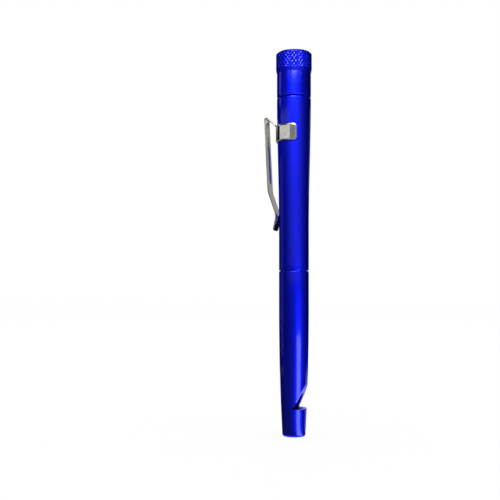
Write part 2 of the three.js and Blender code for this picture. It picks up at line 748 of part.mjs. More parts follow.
const penlight = new THREE.Group();
penlight.name = 'penlight';

function add(name, geometry, finish, height = 0) {
  const mesh = new THREE.Mesh(geometry, new THREE.MeshStandardMaterial(finish));
  mesh.name = name;
  mesh.position.z = height;
  penlight.add(mesh);
  return mesh;
}

function addCell(name, height) {
  add(`${name}_can`, cellCan(), TINNED_STEEL, height);
  add(`${name}_label`, cellLabel(), GREY_LABEL, height);
  add(`${name}_cap`, cellCap(), TINNED_STEEL, height);
  add(`${name}_seal`, cellSeal(), BROWN_SEAL, height);
}

add('barrel', barrel(), BLUE_ANODISED, barrelBottom);
add('head_o_ring', oRing(grooveRadius + SEAT_GAP / 2), BLACK_RUBBER, grooveBottom + SEAT_GAP);
addCell('front_cell', frontCellBottom);
addCell('rear_cell', rearCellBottom);

add('head_shell', headShell(), BLUE_ANODISED, neckBottom);
add('lens', lens(), CLEAR_ACRYLIC, lensBottom);
add('lens_gasket', oRing(neckBoreRadius - RING_SECTION - SEAT_GAP), BLACK_RUBBER, lensTop);
add('reflector', reflector(), MIRROR_FILM, holderTop);

add('lamp_holder', lampHolder(), WHITE_PLASTIC, holderBottom);
add('circuit_board', circuitBoard(), GREEN_BOARD, boardBottom);
add('led', led(), CLEAR_EPOXY, ledBottom);
add('anode_lead', lead(), TINNED_STEEL, ledBottom).position.x = LEAD_PITCH / 2;
add('cathode_lead', lead(), TINNED_STEEL, ledBottom).position.x = -LEAD_PITCH / 2;
add('resistor', new THREE.BoxGeometry(...RESISTOR_SIZE), BLACK_PLASTIC, boardBottom - RESISTOR_SIZE[2] / 2)
  .position.y = RESISTOR_FROM_AXIS;
add('contact_stud', contactStud(), BRASS, studBottom);
add('contact_spring', contactSpring(), SPRING_STEEL, holderBottom + HOLDER_FLOOR + SEAT_GAP);

add('clip_band', clipBand(), PLATED_STEEL);
add('clip_arm', clipArm(), PLATED_STEEL);

add('spring_cup', springCup(), BRASS, pocketFloor + SEAT_GAP);
add('battery_spring', batterySpring(), SPRING_STEEL, springBottom);
add('tail_barrel', tailBarrel(), BLUE_ANODISED);
add('whistle_plug', whistlePlug(), BLACK_PLASTIC);

console.log(`length ${headTop.toFixed(2)} mm`);
console.log(`clip hinge at ${flexPoint.x.toFixed(3)} mm from the axis, height ${flexPoint.y.toFixed(3)} mm`);

export default penlight;
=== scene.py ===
import math

import bpy
import bmesh
from mathutils import Matrix, Vector


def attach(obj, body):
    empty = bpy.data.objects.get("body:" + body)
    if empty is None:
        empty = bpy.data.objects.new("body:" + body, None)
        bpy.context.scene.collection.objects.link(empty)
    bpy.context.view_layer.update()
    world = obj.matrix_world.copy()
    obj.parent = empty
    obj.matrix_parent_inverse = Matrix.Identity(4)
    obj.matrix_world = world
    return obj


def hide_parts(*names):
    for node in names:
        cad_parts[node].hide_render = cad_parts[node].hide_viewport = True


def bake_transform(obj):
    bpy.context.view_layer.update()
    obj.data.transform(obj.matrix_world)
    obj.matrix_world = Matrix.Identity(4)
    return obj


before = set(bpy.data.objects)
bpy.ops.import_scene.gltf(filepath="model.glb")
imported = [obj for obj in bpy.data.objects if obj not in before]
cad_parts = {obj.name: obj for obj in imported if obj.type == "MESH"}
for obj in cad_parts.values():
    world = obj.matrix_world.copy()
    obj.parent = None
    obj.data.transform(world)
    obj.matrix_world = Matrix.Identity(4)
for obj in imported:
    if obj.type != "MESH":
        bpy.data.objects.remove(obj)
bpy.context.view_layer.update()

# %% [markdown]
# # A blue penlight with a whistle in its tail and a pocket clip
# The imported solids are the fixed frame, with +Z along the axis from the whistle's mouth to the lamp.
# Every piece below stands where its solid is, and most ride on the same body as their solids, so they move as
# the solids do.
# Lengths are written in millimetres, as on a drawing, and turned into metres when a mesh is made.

MM = 0.001


# %% [markdown]
# ## Turning
# Head, barrel, tail and most small pieces are turned on a lathe or moulded round.
# Blender's Screw modifier could revolve a curve, but it can't cut a knurl or a thread on the way.
# So a function revolves a profile of radius and height, and a relief function may push each point in or out.
# A turner breaks every sharp edge, so another function first rounds the profile's corners.

# %% Rounded corners of a profile
def soften(profile, size, closed=True, steps=3):
    """Rounds each corner of a profile over a distance of size."""
    nearly_straight = math.radians(158)
    points = [Vector(p) for p in profile]
    rounded = []
    for i, corner in enumerate(points):
        before = points[i - 1] - corner
        after = points[(i + 1) % len(points)] - corner
        end = not closed and i in (0, len(points) - 1)
        if end or before.angle(after) > nearly_straight:
            rounded.append(corner)
            continue
        reach = min(size, 0.45 * before.length, 0.45 * after.length)
        start = corner + before.normalized() * reach
        stop = corner + after.normalized() * reach
        for k in range(steps + 1):
            t = k / steps
            rounded.append((1 - t) ** 2 * start + 2 * t * (1 - t) * corner + t * t * stop)
    return [tuple(p) for p in rounded]


def rows(low, high, step):
    """Heights from low to high, no further apart than step."""
    count = max(1, math.ceil(abs(high - low) / step))
    return [low + (high - low) * i / count for i in range(count + 1)]


# %% A profile turned round the axis
def revolve(profile, count=96, closed=True, relief=None):
    """Points and faces of a profile turned round the Z axis."""
    points, rings, faces = [], [], []
    for radius, height in profile:
        turned = 1 if radius < 1e-6 else count
        rings.append([len(points) + i for i in range(turned)])
        for i in range(turned):
            angle = 2 * math.pi * i / count
            r = radius + (relief(angle, radius, height) if relief else 0)
            points.append((r * math.cos(angle), r * math.sin(angle), height))
    pairs = list(zip(rings, rings[1:])) + ([(rings[-1], rings[0])] if closed else [])
    for low, high in pairs:
        for i in range(count if len(low) + len(high) > 2 else 0):
            j = (i + 1) % count
            face = [low[i % len(low)], low[j % len(low)], high[j % len(high)], high[i % len(high)]]
            faces.append(list(dict.fromkeys(face)))
    return points, faces


# %% [markdown]
# ## From points to objects
# A few pieces have a flat outline with straight sides, so a prism function stands beside the lathe.
# A new mesh may have faces that look inwards, and BMesh turns them all outwards.
# A modifier that has done its work is made into plain mesh, so that each piece's mesh is what is seen.

# %% Prisms, new objects and settled modifiers
def prism(outline, low, high):
    """Points and faces of a flat outline carried from height low to height high."""
    n = len(outline)
    points = [(x, y, z) for z in (low, high) for x, y in outline]
    sides = [[i, (i + 1) % n, n + (i + 1) % n, n + i] for i in range(n)]
    return points, sides + [list(range(n))[::-1], list(range(n, 2 * n))]


def make_object(name, points, faces, turned=None):
    """A new object from points in mm, with its faces turned outwards."""
    mesh = bpy.data.meshes.new(name)
    mesh.from_pydata([Vector(p) * MM for p in points], [], faces)
    if turned:
        mesh.transform(turned)
    shape = bmesh.new()
    shape.from_mesh(mesh)
    bmesh.ops.recalc_face_normals(shape, faces=shape.faces)
    shape.to_mesh(mesh)
    shape.free()
    made = bpy.data.objects.new(name, mesh)
    bpy.context.scene.collection.objects.link(made)
    return made


def settle(made):
    """Turns an object's modifiers into plain mesh."""
    graph = bpy.context.evaluated_depsgraph_get()
    mesh = bpy.data.meshes.new_from_object(made.evaluated_get(graph))
    made.modifiers.clear()
    made.data = mesh
    return made


# %% [markdown]
# ## Finishes
# A finish is what the eye reads as a material: its colour, its gloss, and the marks that its making left.
# Image textures could hold these, but noise in object space needs no unwrapping and fits every piece.
# Each finish is one Principled shader: slow noise varies colour and gloss, and fine noise makes the bump.
# Grain sizes are millimetres, and a stretched grain draws lines along one direction.
# What is the same all over a surface is set on the shader's own sockets.

# %% Colours and nodes
def linear(code):
    """A colour as red, green, blue and alpha in linear light, from its sRGB hex code."""
    shares = [int(code[i:i + 2], 16) / 255 for i in (1, 3, 5)]
    return [x / 12.92 if x <= 0.04045 else ((x + 0.055) / 1.055) ** 2.4 for x in shares] + [1.0]


def add_node(tree, kind, inputs=None, **settings):
    """A new node with its settings, and its inputs as values or links."""
    node = tree.nodes.new(kind)
    for name, value in settings.items():
        setattr(node, name, value)
    for name, value in (inputs or {}).items():
        if isinstance(value, bpy.types.NodeSocket):
            tree.links.new(value, node.inputs[name])
        else:
            node.inputs[name].default_value = value
    return node


# %% One way to build a finish
def new_finish(name, colours, roughness, grains, sockets, patch=4.0):
    """A finish with colour and roughness that vary in patches, and bump from one or more grains.

    colours: two hex codes; roughness: lowest and highest; patch: size of the patches in mm.
    grains: (size in mm, stretch along x, y, z, depth in mm) for each layer of bump.
    sockets: the shader's constant inputs.
    """
    material = bpy.data.materials.new(name)
    material.use_nodes = True
    tree = material.node_tree
    shader = next(n for n in tree.nodes if n.type == "BSDF_PRINCIPLED")
    place = add_node(tree, "ShaderNodeTexCoord").outputs["Object"]
    cloud = add_node(tree, "ShaderNodeTexNoise", {"Vector": place, "Scale": 1 / (patch * MM), "Detail": 3.0})
    share = cloud.outputs["Fac"]
    # In a Mix node set to RGBA, input 0 is the share, 6 and 7 are the colours, and output 2 is the result.
    first, second = map(linear, colours)
    tint = add_node(tree, "ShaderNodeMix", {0: share, 6: first, 7: second}, data_type="RGBA")
    tree.links.new(tint.outputs[2], shader.inputs["Base Color"])
    haze = add_node(tree, "ShaderNodeMapRange", {"Value": share, "From Min": 0.3, "From Max": 0.7,
                                                 "To Min": roughness[0], "To Max": roughness[1]})
    tree.links.new(haze.outputs["Result"], shader.inputs["Roughness"])
    normal = None
    for size, stretch, depth in grains:
        spread = add_node(tree, "ShaderNodeMapping", {"Vector": place, "Scale": stretch})
        grain = add_node(tree, "ShaderNodeTexNoise", {"Vector": spread.outputs["Vector"],
                                                      "Scale": 1 / (size * MM), "Detail": 2.0})
        bump = add_node(tree, "ShaderNodeBump", {"Height": grain.outputs["Fac"], "Strength": 1.0,
                                                 "Distance": depth * MM})
        if normal:
            tree.links.new(normal, bump.inputs["Normal"])
        normal = bump.outputs["Normal"]
    tree.links.new(normal, shader.inputs["Normal"])
    for socket, value in sockets.items():
        shader.inputs[socket].default_value = value
    print("finish:", name)
    return material


ROUND_GRAIN = (1.0, 1.0, 1.0)
TURNED_LINES = (0.02, 0.02, 1.0)
DRAWN_LINES = (1.0, 1.0, 0.03)

# %% [markdown]
# ### Blue anodised aluminium
# Head, barrel and tail are turned from aluminium, etched matt, anodised and dyed.
# The dyed oxide could be glass over metal, but a blue metal under a thin clear coat gives the same look simply.
# The metal spreads light widely and carries the blue, and the sealed oxide adds narrow, nearly white streaks.

# %% The blue of the tubes
# It gives the eye a deep satin blue that falls to navy at the edges, with a pale streak under a light.
# Turning marks are about 0.05 mm apart and the etch finer still. Both are drawn coarser, so that they show.
blue = new_finish("aluminium_turned_and_anodised_blue", ("#0e20ff", "#0b1bf4"), (0.42, 0.48),
                  [(0.10, ROUND_GRAIN, 0.0012), (0.16, TURNED_LINES, 0.0010)],
                  {"Metallic": 1.0, "Specular Tint": linear("#5060ff"), "Coat Weight": 0.55,
                   "Coat Roughness": 0.09, "Coat IOR": 1.5}, patch=6.0)

# %% [markdown]
# ### Bright metals
# The clip, springs, leads and cells' cans are steel under nickel or tin, and two contacts are brass.
# The reflector is plastic with a film of metal on it, so it is a metal to the eye.
# Each could be one grey metal, but the plating's colour and the drawn or turned marks tell them apart.
# Rolling and drawing lines are about 0.02 mm wide on the real pieces, and are drawn coarser so that they show.

# %% Nickel, tin, brass and mirror film
# Bright nickel on sheet: a warm silver, nearly a mirror, slightly wavy from the press.
plated = new_finish("spring_steel_stamped_and_nickel_plated", ("#dcdcd4", "#cfd2cc"), (0.10, 0.17),
                    [(0.25, DRAWN_LINES, 0.0010), (1.6, ROUND_GRAIN, 0.0030)],
                    {"Metallic": 1.0}, patch=2.5)
# Metal film on plastic: the brightest mirror here, with the mould's long soft waves.
mirror = new_finish("abs_moulded_and_vapour_metallised", ("#e8eaec", "#e0e2e6"), (0.05, 0.09),
                    [(0.9, ROUND_GRAIN, 0.004)], {"Metallic": 1.0})
# Nickel on drawn wire: a cooler and duller grey than the clip.
wire = new_finish("spring_wire_drawn_and_nickel_plated", ("#b9bcbe", "#a4a8ab"), (0.18, 0.30),
                  [(0.15, ROUND_GRAIN, 0.002)], {"Metallic": 1.0}, patch=2.0)
# Tin on leads: soft grey with cloudy gloss.
tinned = new_finish("steel_wire_tinned", ("#c2c4c5", "#adb0b2"), (0.24, 0.40),
                    [(0.2, ROUND_GRAIN, 0.003)], {"Metallic": 1.0}, patch=1.0)
# Nickel on a drawn can: grey with lines along its length.
can_steel = new_finish("steel_deep_drawn_and_nickel_plated", ("#c6c8c9", "#b4b7b9"), (0.22, 0.36),
                       [(0.3, DRAWN_LINES, 0.003)], {"Metallic": 1.0})
# Bare brass: yellow, with rings from the lathe.
brass = new_finish("brass_turned_bright", ("#d2ad58", "#bd9440"), (0.22, 0.34),
                   [(0.12, TURNED_LINES, 0.002)], {"Metallic": 1.0})

# %% [markdown]
# ### Clear and soft materials
# The lens is acrylic and the LED's body is cast epoxy, so both let light through and bend it.
# They could be a plain transparent shader, but only transmission with the right IOR shows the edge of a lens.
# The phosphor is a powder in silicone, and the two sealing rings are moulded rubber.

# %% Acrylic, epoxy, phosphor and rubber
# Polished acrylic: clear as water, with a sharp gloss.
acrylic = new_finish("acrylic_moulded_and_polished", ("#f6fafb", "#eef5f7"), (0.01, 0.04),
                     [(2.5, ROUND_GRAIN, 0.002)], {"Transmission Weight": 1.0, "IOR": 1.49})
# Cast epoxy: clear with a trace of yellow, and slightly uneven.
epoxy = new_finish("epoxy_cast_clear", ("#fbf9ee", "#f4f1e2"), (0.02, 0.06),
                   [(1.2, ROUND_GRAIN, 0.003)], {"Transmission Weight": 1.0, "IOR": 1.53})
# Potted powder: matt yellow that glows a little at its edges.
phosphor = new_finish("phosphor_potted_in_silicone", ("#f2d84a", "#e6bf2c"), (0.45, 0.6),
                      [(0.08, ROUND_GRAIN, 0.006)], {"Subsurface Weight": 0.2})
# Nitrile rubber: soft black without sparkle.
rubber = new_finish("nitrile_rubber_moulded_black", ("#101011", "#1c1c1d"), (0.62, 0.85),
                    [(0.12, ROUND_GRAIN, 0.006)], {"Specular IOR Level": 0.35}, patch=1.5)

# %% [markdown]
# ### Plastics and laminate
# The whistle's plug, the lamp's holder, the cells' sleeves and seals and the board are all plastics.
# A spark-eroded mould leaves a fine even grain of about 0.05 mm, which is drawn coarser so that it shows.
# Plain colour would look like paint, so each has the gloss and grain of its making.

# %% Moulded, shrunk and laminated
# Black ABS: a dark satin with a soft broad highlight.
black_plastic = new_finish("abs_moulded_black_fine_grain", ("#121317", "#1b1c21"), (0.38, 0.52),
                           [(0.18, ROUND_GRAIN, 0.008)], {}, patch=2.0)
# White ABS: warm white, with a little light under its surface.
white_plastic = new_finish("abs_moulded_white_fine_grain", ("#e9e7df", "#dedbd1"), (0.42, 0.56),
                           [(0.18, ROUND_GRAIN, 0.006)], {"Subsurface Weight": 0.05})
# Shrunk vinyl: tight, glossy and slightly wavy.
sleeve = new_finish("vinyl_sleeve_shrunk_plain_grey", ("#5d636b", "#525860"), (0.26, 0.36),
                    [(0.8, ROUND_GRAIN, 0.006)], {"Coat Weight": 0.3, "Coat Roughness": 0.15})
# Nylon: dull brown with a waxy sheen.
nylon = new_finish("nylon_moulded_brown", ("#6d4c34", "#5e402b"), (0.5, 0.65),
                   [(0.2, ROUND_GRAIN, 0.006)], {})
# Board: green lacquer, with the weave of the glass cloth just felt through it.
laminate = new_finish("glass_epoxy_laminate_solder_masked", ("#1d5a32", "#174a29"), (0.3, 0.45),
                      [(0.35, ROUND_GRAIN, 0.006)], {"Coat Weight": 0.4, "Coat Roughness": 0.2})


# %% [markdown]
# ## Handing a piece to its body
# On the real light each piece is carried by another, and here most pieces ride on one body of the frame.
# Parenting by hand would do it too, but one function also hides the solids it replaces.
# Edges sharper than an angle stay crisp, and the rest are shaded smooth.

# %% One way to hand a piece over
def hand_over(made, body, finish, slot, *nodes, sharp=32):
    """Gives a piece its finish and edges, and lets it ride on its body in place of its solids."""
    made.data.materials.clear()
    made.data.materials.append(finish)
    made.data.set_sharp_from_angle(angle=math.radians(sharp))
    if body:
        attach(made, body)
    if nodes:
        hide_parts(*nodes)
    print(made.name, len(made.data.polygons), "faces for", nodes or "detail")
    return made


# %% [markdown]
# ## Knurl
# The head's rim has a diamond knurl for the fingers, rolled by two wheels with crossing grooves.
# A bump texture could show it, but it would leave the outline smooth.
# Here it is a relief: two crossing waves of grooves, and flat diamonds where both are high.
# Crests stay at the solid's radius and only the grooves go in, so nothing reaches its neighbour.

# %% Knurl as a relief
NECK, RIM = 7.34, 7.70
KNURL_LOW, KNURL_HIGH = 157.54, 164.32
KNURL_STARTS = 32
KNURL_PERIOD = 2.26
KNURL_DEPTH = 0.15
KNURL_STEPS = 12


def wave(x):
    """1 at whole numbers, falling straight to 0 half way between them."""
    return abs(2 * (x % 1.0) - 1)


def knurl(angle, radius, height):
    if radius < NECK or not KNURL_LOW <= height <= KNURL_HIGH:
        return 0.0
    around = KNURL_STARTS * angle / (2 * math.pi)
    along = (height - KNURL_LOW) / KNURL_PERIOD
    crest = min(1.0, 2 * min(wave(around + along), wave(around - along)))
    return -KNURL_DEPTH * (1 - crest)


print("knurl:", KNURL_STARTS, "starts,", round(2 * math.pi * RIM / KNURL_STARTS, 2), "mm apart")

# %% [markdown]
# ## Threads
# Head and tail screw onto the barrel, and their threads show when they are drawn off.
# A helix of triangles could be joined to the tubes, but a relief keeps each tube one clean mesh.
# The thread rises by one pitch in a turn, and fades out at both ends as a cut thread does.

# %% Threads as reliefs
PITCH = 0.75
THREAD_DEPTH = 0.2


def fade(height, low, high, over):
    """1 between low and high, fading to 0 at both ends."""
    return max(0.0, min(1.0, (height - low) / over, (high - height) / over))


def thread(low, high, surface, depth):
    """A right-hand thread on a surface of that radius: depth is below 0 outside and above 0 inside."""
    def relief(angle, radius, height):
        if abs(radius - surface) > 0.01 or not low < height < high:
            return 0.0
        flank = 1 - wave(height / PITCH - angle / (2 * math.pi))
        return depth * min(1.0, max(0.0, 1.5 * flank - 0.3)) * fade(height, low, high, 0.5)
    return relief


def threaded(surface, low, high):
    """Profile points close enough together to carry a thread."""
    return [(surface, z) for z in rows(low, high, PITCH / 8)]


def both(*reliefs):
    return lambda angle, radius, height: sum(r(angle, radius, height) for r in reliefs)


print("thread:", PITCH, "mm pitch,", THREAD_DEPTH, "mm deep")

# %% [markdown]
# ## Head
# The head is one turned piece: a neck with a thread inside, a short cone, and the knurled rim round the lens.
# The lathe's columns and rows fall on the knurl's pattern, twelve to each groove, so its edges stay straight.
# Each field is also split along its more level diagonal, because a split across a groove would make teeth.
# The neck has rows of points too, or the corner below it would tilt the shading of the whole wall.

# %% Head shell
NECK_BORE = 6.50
HEAD_LOW, CONE_LOW, HEAD_TOP = 145.79, 155.94, 165.0
GASKET_TOP, LIP_BORE, RIM_CHAMFER = 163.8, 5.6, 0.68
NECK_THREAD_TOP = 151.4
SEAM_EDGE, EDGE, CORNER = 0.16, 0.3, 0.12

cone = [(NECK + (RIM - NECK) * s, CONE_LOW + (KNURL_LOW - CONE_LOW) * s) for s in (0.2, 0.4, 0.6, 0.8)]
head_profile = soften([
    (NECK_BORE, HEAD_LOW), (NECK - SEAM_EDGE, HEAD_LOW),
    *[(NECK, z) for z in rows(HEAD_LOW + SEAM_EDGE, CONE_LOW, 0.8)], *cone,
    *[(RIM, z) for z in rows(KNURL_LOW, KNURL_HIGH, 1.01 * KNURL_PERIOD / KNURL_STEPS)],
    (RIM - RIM_CHAMFER, HEAD_TOP), (LIP_BORE + EDGE, HEAD_TOP), (LIP_BORE, HEAD_TOP - EDGE),
    (LIP_BORE, GASKET_TOP), (NECK_BORE, GASKET_TOP), *threaded(NECK_BORE, NECK_THREAD_TOP, HEAD_LOW + EDGE),
], CORNER)
points, fields = revolve(head_profile, KNURL_STARTS * KNURL_STEPS, relief=both(
    knurl, thread(HEAD_LOW + 0.4, NECK_THREAD_TOP - 0.4, NECK_BORE, THREAD_DEPTH)))
faces = []
for a, b, c, d in fields:
    ra, rb, rc, rd = (math.hypot(*points[i][:2]) for i in (a, b, c, d))
    faces += [[a, b, c], [a, c, d]] if abs(ra - rc) <= abs(rb - rd) else [[a, b, d], [b, c, d]]
head = make_object("head_shell_knurled", points, faces)
hand_over(head, "head", blue, "blue_anodised", "head_shell", sharp=12)

# %% [markdown]
# ## Barrel
# The barrel is the tube round the two cells. It swells towards the head, and a ring inside stops the cells.
# It ends in a threaded spigot on both sides, and the upper one has a groove for the O-ring.
# The swell could be a cone, but a smooth step leaves no corner where it starts and ends.

# %% Barrel tube
BORE, GRIP = 5.35, 6.45
BARREL_LOW, SWELL_LOW, SHOULDER, SPIGOT_TOP = 71.25, 89.34, 145.34, 151.64
TAIL_SPIGOT, TAIL_SPIGOT_LOW, HEAD_SPIGOT = 5.85, 63.25, 6.40
GROOVE, GROOVE_LOW, GROOVE_HIGH = 5.60, 149.94, 150.86
STOP_OPENING, STOP_LOW, STOP_HIGH = 3.2, 138.2, 139.4
LOWER_THREAD, UPPER_THREAD = (63.4, 70.8), (SHOULDER + 0.3, 149.6)


def barrel_radius(height):
    share = min(1.0, max(0.0, (height - SWELL_LOW) / (SHOULDER - SWELL_LOW)))
    return GRIP + (NECK - GRIP) * share * share * (3 - 2 * share)


barrel_profile = soften([
    (BORE, TAIL_SPIGOT_LOW), (TAIL_SPIGOT - EDGE, TAIL_SPIGOT_LOW),
    *threaded(TAIL_SPIGOT, TAIL_SPIGOT_LOW + EDGE, BARREL_LOW), (GRIP - SEAM_EDGE, BARREL_LOW),
    *[(barrel_radius(z), z) for z in rows(BARREL_LOW + SEAM_EDGE, SHOULDER - EDGE, 1.5)],
    (NECK - SEAM_EDGE, SHOULDER), *threaded(HEAD_SPIGOT, SHOULDER, GROOVE_LOW),
    (GROOVE, GROOVE_LOW), (GROOVE, GROOVE_HIGH), (HEAD_SPIGOT, GROOVE_HIGH), (HEAD_SPIGOT, SPIGOT_TOP - EDGE),
    (HEAD_SPIGOT - EDGE, SPIGOT_TOP), (BORE, SPIGOT_TOP),
    (BORE, STOP_HIGH), (STOP_OPENING, STOP_HIGH), (STOP_OPENING, STOP_LOW), (BORE, STOP_LOW),
], CORNER)
barrel = make_object("barrel_turned", *revolve(barrel_profile, 128, relief=both(
    thread(*LOWER_THREAD, TAIL_SPIGOT, -THREAD_DEPTH), thread(*UPPER_THREAD, HEAD_SPIGOT, -THREAD_DEPTH))))
hand_over(barrel, "barrel", blue, "blue_anodised", "barrel")

# %% [markdown]
# ## Tail
# The tail is bored from both ends: a pocket for the cell and its spring above, the whistle's bore below.
# It tapers to the mouth, faster near the end, and a power of the distance gives that curve.
# The bore gets closer rows where the window will be cut, so that the cut meets small faces.

# %% Tail tube
TAIL_SOCKET, SOCKET_FLOOR, TAIL_TOP = 5.95, 62.8, 71.0
WHISTLE, MOUTH, CHAMBER_TOP, POCKET_FLOOR = 4.00, 4.95, 38.0, 42.0
TAPER_TOP, TAPER_POWER = 60.0, 2.4
SOCKET_THREAD, WINDOW_ROWS, ROW_STEP = (63.2, 70.6), (26, 10), 0.8


def tail_radius(height):
    return GRIP - (GRIP - MOUTH) * max(0.0, (TAPER_TOP - height) / TAPER_TOP) ** TAPER_POWER


tail_profile = soften([
    (0, CHAMBER_TOP), (WHISTLE, CHAMBER_TOP), *[(WHISTLE, z) for z in rows(*WINDOW_ROWS, ROW_STEP)],
    (WHISTLE, 0), (MOUTH - EDGE, 0), *[(tail_radius(z), z) for z in rows(EDGE, TAPER_TOP, ROW_STEP)],
    (GRIP, TAIL_TOP - EDGE), (GRIP - SEAM_EDGE, TAIL_TOP),
    *threaded(TAIL_SOCKET, TAIL_TOP, SOCKET_FLOOR),
    (BORE, SOCKET_FLOOR), (BORE, POCKET_FLOOR), (0, POCKET_FLOOR),
], CORNER, closed=False)
tail = make_object("tail_whistle", *revolve(
    tail_profile, 128, closed=False, relief=thread(*SOCKET_THREAD, TAIL_SOCKET, THREAD_DEPTH)))
print("tail:", round(2 * tail_radius(0), 1), "mm at the mouth,", 2 * GRIP, "mm at the seam")

# %% [markdown]
# ## The whistle's window
# A whistle speaks where the air from the windway meets a lip, which is where the window's slant ends.
# On the real tail a cutter takes out a wedge. Here a Boolean subtracts one, which gives the same edges.
# The outer edge of the slant is then bevelled, because a maker deburrs what touches the mouth.

# %% Window cut by a wedge
PLUG_TOP, WINDOW_RISE, WINDOW_FROM_AXIS = 11.9, 11.0, 0.86
BEYOND = 12.9
lip = tail_radius(PLUG_TOP + WINDOW_RISE)
rise = WINDOW_RISE / (lip - WINDOW_FROM_AXIS) * (BEYOND - WINDOW_FROM_AXIS)
upright = Matrix(((0, 0, 1, 0), (1, 0, 0, 0), (0, 1, 0, 0), (0, 0, 0, 1)))
wedge = make_object("window_wedge", *prism(
    [(WINDOW_FROM_AXIS, PLUG_TOP), (BEYOND, PLUG_TOP), (BEYOND, PLUG_TOP + rise)], -BEYOND, BEYOND), upright)
cut = tail.modifiers.new("window", "BOOLEAN")
cut.object, cut.solver = wedge, "EXACT"
settle(tail)
bpy.data.objects.remove(wedge)

# %% Deburred edge
BURR = 0.2
slant = Vector((0, rise, WINDOW_FROM_AXIS - BEYOND)).normalized()
shape = bmesh.new()
shape.from_mesh(tail.data)
cut_faces = {f for f in shape.faces if f.normal.dot(slant) > 0.999 and f.calc_center_median().y > 0}
rim = [e for e in shape.edges if len(cut_faces.intersection(e.link_faces)) == 1
       and min(Vector(v.co.xy).length for v in e.verts) > (WHISTLE + 0.5) * MM]
bmesh.ops.bevel(shape, geom=rim, offset=BURR * MM, segments=2, affect="EDGES", clamp_overlap=True)
shape.to_mesh(tail.data)
shape.free()
print("deburred edges round the window:", len(rim))
hand_over(tail, "tail", blue, "blue_anodised", "tail_barrel")

# %% [markdown]
# ## Plug
# The plug closes the mouth apart from a flat on one side, and the slot above that flat is the windway.
# Its section is a circle with a chord cut off, so it is a prism and no Boolean is needed.
# A bevel modifier rounds its edges, as on any moulded piece.

# %% Plug that leaves the windway
WINDWAY, PLUG_FIT = 1.2, 0.06
flat = WHISTLE - WINDWAY
reach = WHISTLE - PLUG_FIT
half = math.asin(flat / reach)
arc = [math.pi - half + (math.pi + 2 * half) * i / 48 for i in range(49)]
plug = make_object("whistle_plug_moulded", *prism(
    [(reach * math.cos(a), reach * math.sin(a)) for a in arc], 0.0, PLUG_TOP))
soft_edge = plug.modifiers.new("edge", "BEVEL")
soft_edge.width, soft_edge.segments, soft_edge.angle_limit = CORNER * MM, 2, math.radians(40)
settle(plug)
hand_over(plug, "tail", black_plastic, "black_plastic", "whistle_plug")


# %% [markdown]
# ## Clip
# The clip is one strip of spring steel: a band that snaps round the barrel, a tongue, a fold, and an arm.
# It is stamped flat and then bent, so its side view is one line, drawn here from straight runs and round turns.
# A curve object with a bevel could follow that line, but the band is wider than the arm and has to join it.
# So the line comes first, then a grid of points for the sheet's middle surface, and its thickness last.

# %% The clip's middle line
BAND_MIDDLE, BAND_LOW, BAND_HIGH = 7.636, 126.49, 133.39
FOLD_CENTRE, FOLD_RADIUS = Vector((11.456, 136.54)), 0.8
RISER, SLOPE = math.radians(48), math.radians(2.9)
ARM_RUN, REST, TIP = 31.1, Vector((7.026, 95.04)), Vector((8.426, 88.54))


def on_fold(angle):
    return FOLD_CENTRE + FOLD_RADIUS * Vector((math.cos(angle), math.sin(angle)))


def rounded_turn(corner, before, after, reach, steps=10):
    """A smooth turn at a corner of the line."""
    start = corner + (before - corner).normalized() * reach
    stop = corner + (after - corner).normalized() * reach
    shares = [i / steps for i in range(steps + 1)]
    return [(1 - t) ** 2 * start + 2 * t * (1 - t) * corner + t * t * stop for t in shares]


fold_start = on_fold(math.pi / 2 + RISER)
riser_run = (fold_start.x - BAND_MIDDLE) / math.cos(RISER)
riser_foot = fold_start - riser_run * Vector((math.cos(RISER), math.sin(RISER)))
arm_start = on_fold(-SLOPE)
arm_way = Vector((-math.sin(SLOPE), -math.cos(SLOPE)))
knee = arm_start + ARM_RUN * arm_way
band_top = Vector((BAND_MIDDLE, BAND_HIGH))
corners = [
    *rounded_turn(riser_foot, band_top - Vector((0, 1)), fold_start, 0.7)[1:],
    *[on_fold(math.pi / 2 + RISER + (-SLOPE - math.pi / 2 - RISER) * i / 16) for i in range(17)],
    *rounded_turn(knee, arm_start, REST, 1.4), *rounded_turn(REST, knee, TIP, 1.8), TIP,
]

# %% Even steps along the line
LINE_STEP = 0.5
line = [band_top]
for corner in corners:
    if corner.y < BAND_HIGH and len(line) < 12:
        continue
    gap = corner - line[-1]
    pieces = max(1, math.ceil(gap.length / LINE_STEP))
    line += [line[-1] + gap * (i + 1) / pieces for i in range(pieces)]
travel = [0.0]
for a, b in zip(line, line[1:]):
    travel.append(travel[-1] + (b - a).length)
arm_from = next(i for i, p in enumerate(line) if (p - arm_start).length < 1e-4)
print("clip line:", len(line), "points,", round(travel[-1], 1), "mm of strip")

# %% [markdown]
# ## The band's surface
# The band is the part of the strip that goes round the barrel, open at the back so that it can snap on.
# A cylinder with faces deleted could stand for it, but its ends have rounded corners.
# So its rows draw together near the ends, and its middle columns are those of the arm that grows out of it.

# %% Band
HALF_WRAP = math.radians(114)
COLUMNS, ARM_HALF = 26, 3.25
ROOT_FILLET, TIP_CORNER, BAND_CORNER = 0.8, 1.2, 1.2


def corner_drop(distance, radius):
    """How much a rounded corner takes off at a distance from its end."""
    left = max(0.0, radius - distance)
    return radius - math.sqrt(max(0.0, radius * radius - left * left))


def on_band(around, height):
    angle = around / BAND_MIDDLE
    return (BAND_MIDDLE * math.sin(angle), -BAND_MIDDLE * math.cos(angle), height)


